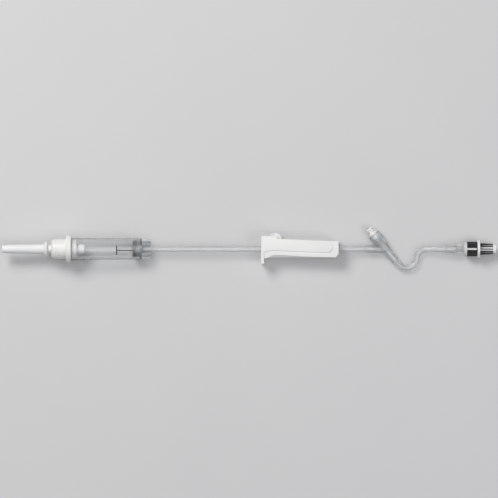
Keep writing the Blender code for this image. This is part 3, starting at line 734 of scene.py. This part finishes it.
p0, p1, n1 = GAP, cu(77.7), cu(84.7)
former = lathe("drop_former_plug", [
    (-2.6, 5.30, 0.15), (p0, 5.30), (p0, PLUG_R, 0.15), (p1, PLUG_R, 1.7), (p1, NOZZLE_R, 0.25), (n1, NOZZLE_R, 0.3),
    (n1, NOZZLE_BORE, 0.3), (0.6, NOZZLE_BORE), (-0.4, 1.15), (-0.9, 1.15, 0.1), (-0.9, 2.60, 0.1), (0.5, 3.0, 0.3),
    (p1 - 1.4, 3.0, 0.3), (p1 - 1.4, PLUG_R - 1.9, 0.5), (p1 - 2.0, PLUG_R - 1.35, 0.3), (-2.6, 4.30, 0.15),
], 96)
place(former, CHAMBER, "set", INNER, ["drop_former"], 30)

# ================================================================ drip chamber
b0, b1 = GAP, cu(140.1)
barrel = lathe("chamber_wall", [
    (b0, BARREL_R0, 0.2), (b1, BARREL_R1, 0.25), (b1, BARREL_R1 - BARREL_WALL, 0.2),
    (cu(131.0), BARREL_R1 - BARREL_WALL + 0.03), (b0, BARREL_R0 - BARREL_WALL, 0.2),
], 128)
place(barrel, CHAMBER, "set", BARREL_CLEAR, ["chamber_barrel"], 30)


def barrel_r(x):
    return BARREL_R0 + (BARREL_R1 - BARREL_R0) * (x - b0) / (b1 - b0)


def printed(name, x_from, x_to, y_from, y_to, nx, ny, lift=0.035):
    """A thin printed patch that follows the barrel's wall, on its upper side."""
    bm = bmesh.new()
    layers = []
    for proud in (0.006, lift):
        grid = []
        for i in range(nx + 1):
            x = x_from + (x_to - x_from) * i / nx
            r = barrel_r(x) + proud
            row = []
            for j in range(ny + 1):
                y = y_from + (y_to - y_from) * j / ny
                a = y / barrel_r(x)
                row.append(bm.verts.new((x, r * math.sin(a), r * math.cos(a))))
            grid.append(row)
        layers.append(grid)
    lowg, upg = layers
    for i in range(nx):
        for j in range(ny):
            bm.faces.new((upg[i][j], upg[i + 1][j], upg[i + 1][j + 1], upg[i][j + 1]))
            bm.faces.new((lowg[i][j], lowg[i][j + 1], lowg[i + 1][j + 1], lowg[i + 1][j]))
    for i in range(nx):
        bm.faces.new((lowg[i][0], lowg[i + 1][0], upg[i + 1][0], upg[i][0]))
        bm.faces.new((lowg[i][ny], upg[i][ny], upg[i + 1][ny], lowg[i + 1][ny]))
    for j in range(ny):
        bm.faces.new((lowg[0][j], upg[0][j], upg[0][j + 1], lowg[0][j + 1]))
        bm.faces.new((lowg[nx][j], lowg[nx][j + 1], upg[nx][j + 1], upg[nx][j]))
    bmesh.ops.recalc_face_normals(bm, faces=bm.faces)
    return mesh_object(name, bm)


tick = printed("level_mark_line", cu(116.5) - 0.34, cu(116.5) + 0.34, uy(255.2), uy(245.5), 2, 24)
stem = printed("level_mark_stem", cu(116.5) + 0.36, cu(133.0), uy(250.4) - 0.30, uy(250.4) + 0.30, 24, 3)
for mark in (tick, stem):
    place(mark, CHAMBER, "set", PRINT, (), 50)

f0, f1, FR = cu(132.7), cu(135.8), 6.15
ring = lathe("filter_carrier", [
    (f0 + 0.45, FR, 0.12), (f1, FR, 0.15), (f1, FR - 1.1, 0.12), (f0 + 0.45, FR - 1.1, 0.12),
], 96)
for i in range(2):
    bar = box("bar", (f0 + 1.0, -(FR - 0.5), -0.4), (f1 - 0.15, FR - 0.5, 0.4), 0.08)
    turn(bar, 45 + 90 * i)
    combine(ring, bar, "UNION")
place(ring, CHAMBER, "set", FILTER_RING, ["filter_ring"], 30)
disc = lathe("filter_disc", [(f0 - 0.10, 0), (f0 - 0.10, FR - 0.1, 0.08), (f0 + 0.20, FR - 0.1, 0.08), (f0 + 0.20, 0)], 96)
place(disc, CHAMBER, "set", FILTER, ["filter_mesh"])

o0, o1 = cu(140.1) + GAP, cu(150.9)
outlet = lathe("chamber_outlet", [
    (f1 + GAP, 6.10, 0.15), (cu(140.1) - 0.2, 6.10), (o0, 6.20), (o0, OUTLET_R - 0.03, 0.15), (o0 + 1.0, OUTLET_R - 0.03, 0.25),
    (o0 + 1.0, 3.05, 0.4), (o1, 2.85, 0.25), (o1, SOCKET_R, 0.15), (cu(142.0), SOCKET_R, 0.1),
    (cu(142.0), 1.45, 0.2), (o0 - 1.5, 1.45, 0.5), (f1 + GAP + 0.2, 4.9, 0.2),
], 96)
for a in (90, 45, 135, -90, -45, -135):
    fin = box("fin", (o0 + 0.5, 2.45, -0.42), (o1, OUTLET_R - 0.03, 0.42), 0.14)
    turn(fin, a - 90)
    combine(outlet, fin, "UNION")
place(outlet, CHAMBER, "set", RIGID_CLEAR, ["outlet_cap"], 30)

# ================================================================ roller clamp
side = [(261.3, 235.9, 0.9), (277.3, 235.9, 0.7), (277.6, 238.3, 0.5), (283.0, 238.9, 6), (292.0, 239.3, 20), (300.0, 239.7, 30),
        (329.5, 240.9, 30), (338.5, 241.1, 0.7), (338.5, 253.9, 1.2), (335.9, 257.3, 1.0), (320.0, 257.2, 30), (300.0, 256.4, 30),
        (282.0, 255.3, 10), (273.5, 255.2, 3), (270.5, 256.8, 5), (267.0, 258.2, 3), (264.0, 258.4, 0.5),
        (264.0, 263.9, 0.8), (261.0, 263.9, 0.8)]
clamp = prism("clamp_shell", [(ux(a), uy(b), *([r[0] * K] if r else [])) for a, b, *r in side], WALL_FACE, CLAMP_W - WALL_FACE, 0.22)
arc = [(326.8 + 5.85 * math.cos(t), 246.75 + 5.85 * math.sin(t)) for t in [math.radians(a) for a in range(80, -81, -8)]]
boss = [(261.25, 236.0, 0.9), (277.2, 236.0, 0.6), (277.5, 238.4, 0.5), (283.0, 239.0, 6), (292.0, 239.4, 20), (300.0, 239.8, 30), (322.0, 240.75, 3)]
boss += [(x, y) for x, y in reversed(arc)]
boss += [(322.0, 252.45, 3), (300.0, 251.5, 20), (282.0, 250.85, 20), (272.0, 250.45, 2.5), (269.8, 250.6, 2), (266.0, 251.9, 2),
         (264.05, 252.3, 0.3), (264.05, 263.86, 0.8), (260.96, 263.86, 0.8)]
for z0, z1 in ((0.0, WALL_FACE + 0.6), (CLAMP_W - WALL_FACE - 0.6, CLAMP_W)):
    combine(clamp, prism("boss", [(ux(a), uy(b), *([r[0] * K] if r else [])) for a, b, *r in boss], z0, z1, 0.30), "UNION")
keel = [(270.0, 254.0), (337.0, 254.0), (336.0, 257.5, 0.9), (271.0, 257.5, 0.5)]
combine(clamp, prism("keel", [(ux(a), uy(b), *([r[0] * K] if r else [])) for a, b, *r in keel], ZC - 1.6, ZC + 1.6, 0.2), "UNION")
channel = [(264.3, 225.0), (331.0, 225.0), (331.0, 254.2, 1.4), (322.0, 254.2, 10), (282.0, 252.75, 10), (275.0, 252.45, 5), (264.3, 252.45, 1.0)]
combine(clamp, prism("channel", [(ux(a), uy(b), *([r[0] * K] if r else [])) for a, b, *r in channel], ZC - CHANNEL_W / 2, ZC + CHANNEL_W / 2), "DIFFERENCE")
bore = lathe("bore", [(ux(258), 0), (ux(258), TUBE_R + 0.3), (ux(342), TUBE_R + 0.3), (ux(342), 0)], 48)
bore.data.transform(Matrix.Translation((0, 0, ZC)))
combine(clamp, bore, "DIFFERENCE")
gx0, gx1 = ux(266.0), ux(318.0)
gy0, gy1 = uy(252.45), uy(254.0)
combine(clamp, hull("groove", [
    (gx0, gy0 + 0.6, ZC - 1.9), (gx0, gy0 + 0.6, ZC + 1.9), (gx0, gy0 - 1.0, ZC),
    (gx1, gy1 + 0.6, ZC - 0.7), (gx1, gy1 + 0.6, ZC + 0.7), (gx1, gy1 - 0.02, ZC)]), "DIFFERENCE")
run = math.hypot(ROLLER_SHUT[0] - ROLLER_OPEN[0], ROLLER_SHUT[1] - ROLLER_OPEN[1])
slope = math.atan2(ROLLER_SHUT[1] - ROLLER_OPEN[1], ROLLER_SHUT[0] - ROLLER_OPEN[0])
half = STUB_R + 0.12
for z0, z1 in ((ZC - ROLLER_W / 2 - STUB_OUT - 0.2, ZC - CHANNEL_W / 2 + 0.3), (ZC + CHANNEL_W / 2 - 0.3, ZC + ROLLER_W / 2 + STUB_OUT + 0.2)):
    pts = []
    for cx, base in ((run + 0.15, -90), (-0.15, 90)):
        for deg in range(0, 181, 15):
            t = math.radians(base + deg)
            px, py = cx + half * math.cos(t), half * math.sin(t)
            pts.append((ROLLER_OPEN[0] + px * math.cos(slope) - py * math.sin(slope), ROLLER_OPEN[1] + px * math.sin(slope) + py * math.cos(slope)))
    combine(clamp, prism("slot", pts, z0, z1), "DIFFERENCE")
place(clamp, SET, "clamp", CLAMP_WHITE, ["clamp_body"], 28)

h, s = ROLLER_W / 2, ROLLER_W / 2 + STUB_OUT


def wheel_relief(x, r, a):
    """Shallow grooves across the rim for the thumb."""
    if r < ROLLER_R - 0.35 or abs(x) > h - 0.02:
        return r
    fade = min(1.0, (h - abs(x)) / 0.5)
    return r - 0.26 * fade * max(0.0, math.cos(30 * a)) ** 2


roller = lathe("roller_wheel", [
    (-s, 0), (-s, STUB_R, 0.14), (-h, STUB_R, 0.15), (-h, 2.6, 0.1), (-h + 0.5, 2.9, 0.2), (-h + 0.5, 3.7, 0.2), (-h, 3.9, 0.1),
    (-h, ROLLER_R, 0.35), (-h + 0.8, ROLLER_R), (h - 0.8, ROLLER_R), (h, ROLLER_R, 0.35), (h, 3.9, 0.1), (h - 0.5, 3.7, 0.2), (h - 0.5, 2.9, 0.2), (h, 2.6, 0.1),
    (h, STUB_R, 0.15), (s, STUB_R, 0.14), (s, 0),
], 240, wheel_relief)
turn(roller, 90, "Y")
place(roller, ROLLER, "roller", ROLLER_WHITE, ["roller"], 50)

# ================================================================ Y-site
ybody = lathe("y_site_body", [
    (5.65, 3.75, 0.1), (5.80, 4.30, 0.4), (8.5, 4.52, 10), (10.6, 4.45, 14), (12.7, 4.15, 16), (15.2, 3.60, 20), (17.4, 3.12, 20),
    (20.0, 2.78, 0.25), (20.26, 2.50, 0.15), (Y_END, 2.46, 0.2), (Y_END, SOCKET_R, 0.1), (21.2, SOCKET_R, 0.1), (21.2, 1.40, 0.15),
    (17.4, 1.40, 1.0), (15.2, 2.85, 1.0), (9.4, 2.95, 0.1), (9.4, 3.50, 0.1), (5.65, 3.50, 0.1),
], 96)
inv = Matrix.Rotation(-Y_ANGLE, 4, "Z") @ Matrix.Translation((-Y_TOP[0], -Y_TOP[1], 0))
meet = Y_TOP[0] + Y_TOP[1] / math.tan(-Y_ANGLE)
inlet = lathe("inlet", [(IN0, 0), (IN0, 2.5, 0.2), (meet, 2.5), (meet, 0)], 72)
inlet.data.transform(inv)
combine(ybody, inlet, "UNION")
core = lathe("core", [(5.0, 0), (5.0, 3.5), (9.4, 3.5), (9.4, 2.95), (15.2, 2.85, 1.0), (17.4, 1.40, 1.0), (21.2, 1.40), (21.2, SOCKET_R), (Y_END + 1, SOCKET_R), (Y_END + 1, 0)], 96)
combine(ybody, core, "DIFFERENCE")
for r, a, b in ((SOCKET_R, IN0 - 1, IN0 + 6.6), (1.25, IN0 + 6.0, meet + 0.2)):
    way = lathe("way", [(a, 0), (a, r), (b, r), (b, 0)], 48)
    way.data.transform(inv)
    combine(ybody, way, "DIFFERENCE")
place(ybody, VALVE, "set", RIGID_CLEAR, ["y_body"], 30)

housing = lathe("valve_top", [
    (0, 2.10, 0.08), (0, 2.70, 0.30), (1.32, 2.86, 0.12), (1.46, 2.30, 0.12), (3.22, 2.30, 0.1), (3.34, 3.12, 0.12),
    (5.3, 3.50, 0.08), (5.40, 3.50, 0.05), (5.40, 3.25, 0.05), (9.1, 3.25, 0.1), (9.1, 2.12, 0.1), (1.0, 2.12),
], 96)


def helix(name, x_from, x_to, a_from, a_to, r_in, r_out, width, count=40):
    """A thread: a ridge that climbs along X as it goes round, fading at both ends. It stands out or in."""
    bm = bmesh.new()
    rows = []
    for i in range(count + 1):
        t = i / count
        x = x_from + (x_to - x_from) * t
        a = math.radians(a_from + (a_to - a_from) * t)
        fade = min(1.0, t / 0.06, (1 - t) / 0.06)
        low = r_in + math.copysign(0.15, r_out - r_in)
        top = low + (r_out - low) * fade
        row = []
        for dx, r in ((-width / 2, r_in), (-width * 0.28, top), (width * 0.28, top), (width / 2, r_in)):
            row.append(bm.verts.new((x + dx, r * math.cos(a), r * math.sin(a))))
        rows.append(row)
    for p, q in zip(rows, rows[1:]):
        for j in range(4):
            k = (j + 1) % 4
            bm.faces.new((p[j], p[k], q[k], q[j]))
    bm.faces.new(rows[0])
    bm.faces.new(rows[-1])
    bmesh.ops.recalc_face_normals(bm, faces=bm.faces)
    return mesh_object(name, bm)


for turn_by in (-70, 110):
    combine(housing, helix("lug", 2.10, 2.88, turn_by, turn_by + 163, 2.25, 2.82, 0.80), "UNION")
place(housing, VALVE, "set", VALVE_WHITE, ["valve_housing"], 30)

seal = lathe("valve_plug", [
    (0.02, 0), (-0.05, 1.82, 0.3), (9.45, 1.82, 0.1), (9.45, 2.55, 0.12), (10.8, 2.55, 0.25), (10.8, 0),
], 96)
combine(seal, box("slit", (-1.0, -1.15, -0.05), (0.9, 1.15, 0.05)), "DIFFERENCE")
place(seal, VALVE, "valve_seal", SEAL, ["valve_seal"], 30)

# ================================================================ luer lock
tip_x = ux(479.0)
conn = lathe("luer_tail", [
    (lc0, SOCKET_R, 0.1), (lc0, 2.72, 0.2), (lc1 - 0.3, 2.72, 0.4), (lc1 + 0.4, 1.85, 0.5), (lf, 1.85),
    (ux(466.2), 1.85, 0.1), (ux(466.2), 3.30, 0.12), (ux(467.6), 3.30, 0.12), (ux(467.6), 2.17, 0.15),
    (tip_x, 1.95, 0.2), (tip_x, 1.05, 0.15), (lc1 - 1.0, 1.05, 0.1), (lc1 - 1.0, SOCKET_R, 0.1),
], 96)
for i in range(4):
    wing = [(lc1 - 1.6, 1.5), (lf, 1.5), (lf, 3.42, 0.3), (lc1 + 0.3, 2.85, 0.8), (lc1 - 1.6, 2.62)]
    w = prism("wing", wing, -0.42, 0.42, 0.12)
    turn(w, 90 * i)
    combine(conn, w, "UNION")
way = lathe("way", [(lc0 - 1, 0), (lc0 - 1, SOCKET_R), (lc1 - 1.0, SOCKET_R), (lc1 - 1.0, 1.05), (lf, 1.05), (lf, 0)], 48)
combine(conn, way, "DIFFERENCE")
place(conn, LUER, "set", RIGID_CLEAR, ["luer_connector"], 30)

nb0, nb1 = ux(463.5), ux(477.0)
KNURL0, KNURL1 = ux(467.0), nb1 - 0.35
RIDGES = 48


def plain_highlight_strip(a):
    """True in the two plain strips of the nut, at +Z and -Z: unknurled, and left pale in the black grip as a painted
    highlight along the knurl.
    """
    return abs(math.cos(a)) * 5.0 < 0.68


def nut_relief(x, r, a):
    if r < 4.7 or not KNURL0 <= x <= KNURL1:
        return r
    if plain_highlight_strip(a):
        return r - 0.10
    return r - 0.30 * (0.5 + 0.5 * math.cos(RIDGES * a)) ** 2


nut = lathe("luer_lock_nut", [
    (nb0, 2.15, 0.1), (nb0, 3.60, 0.15), (nb0 + 0.25, 4.05, 0.3), (nb0 + 0.95, 4.95, 0.5), (nb0 + 1.5, 5.12, 0.3), (KNURL0 - 0.05, 5.12), (KNURL0, 5.12),
    (KNURL0 + 0.02, 5.12), (KNURL1 - 0.02, 5.12), (KNURL1, 5.12), (KNURL1 + 0.05, 5.12), (nb1, 5.12, 0.25), (nb1, 4.10, 0.12),
    (nb1 - 0.15, 3.98), (ux(467.9), 3.98, 0.2), (ux(465.9), 3.75, 0.3), (ux(465.9), 2.15, 0.1),
], 480, nut_relief)
for turn_by in (0, 180):        # two-start thread inside, 5 mm in a turn
    combine(nut, helix("nut_thread", ux(469.0), ux(475.4), turn_by, turn_by + 325, 4.15, 3.50, 1.0, 60), "UNION")
place(nut, LUER, "luer_nut", [NUT_GREY, BLACK], ["luer_nut"], 40)
inverse = (TO_M @ LUER).inverted()
# The knurl is black except for the plain strips, which stay pale: a painted highlight along the top and bottom of the
# knurl.
for f in nut.data.polygons:
    c = inverse @ f.center
    r = math.hypot(c.y, c.z)
    if KNURL0 - 0.06 <= c.x <= nb1 and r > 4.5 and not (plain_highlight_strip(math.atan2(c.z, c.y)) and c.x < KNURL1):
        f.material_index = 1

cf0, cf1, cr1, ce = nb1 + GAP, ux(479.9), ux(493.0), ux(496.2)


def rib_mask(a):
    """1 on one of the 12 grip ribs, 0 between them."""
    off = (a + math.radians(15)) % math.radians(30) - math.radians(15)
    return 1.0 if abs(off) * 3.85 < 0.36 else 0.0


def cap_relief(x, r, a):
    if r < 3.05 or r > 3.9 or not cf1 - 0.01 <= x <= cr1 + 0.001:
        return r
    height = 4.17 + (3.53 - 4.17) * (x - cf1) / (cr1 - cf1)
    return 3.02 + (height - 3.02) * rib_mask(a)


cap = lathe("luer_cap_body", [
    (ux(468.6), 2.30, 0.1), (ux(468.6), 3.00, 0.25), (cf0, 3.05), (cf0, 6.25, 0.2), (cf1, 6.25, 0.2), (cf1, 4.3),
    (cf1, 3.10), (cf1 + 0.1, 3.10), (cr1 - 0.12, 3.10), (cr1, 3.10), (cr1 + 0.02, 3.18), (ce, 3.18, 0.3), (ce, 0), (ce - 1.2, 0), (ce - 1.2, 1.3, 0.1), (tip_x + 1.0, 1.5), (tip_x + 0.4, 2.10),
], 360, cap_relief)
place(cap, LUER, "luer_cap", [LUER_WHITE, CAP_RIB_SHADE], ["luer_cap"], 35)
# The ribs take the charcoal finish: painted shade on the raised ribs of the white cap, so the ribbed band reads dark.
for f in cap.data.polygons:
    c = inverse @ f.center
    if cf1 - 0.001 <= c.x <= cr1 + 0.015 and 3.16 < math.hypot(c.y, c.z) < 4.25:
        f.material_index = 1
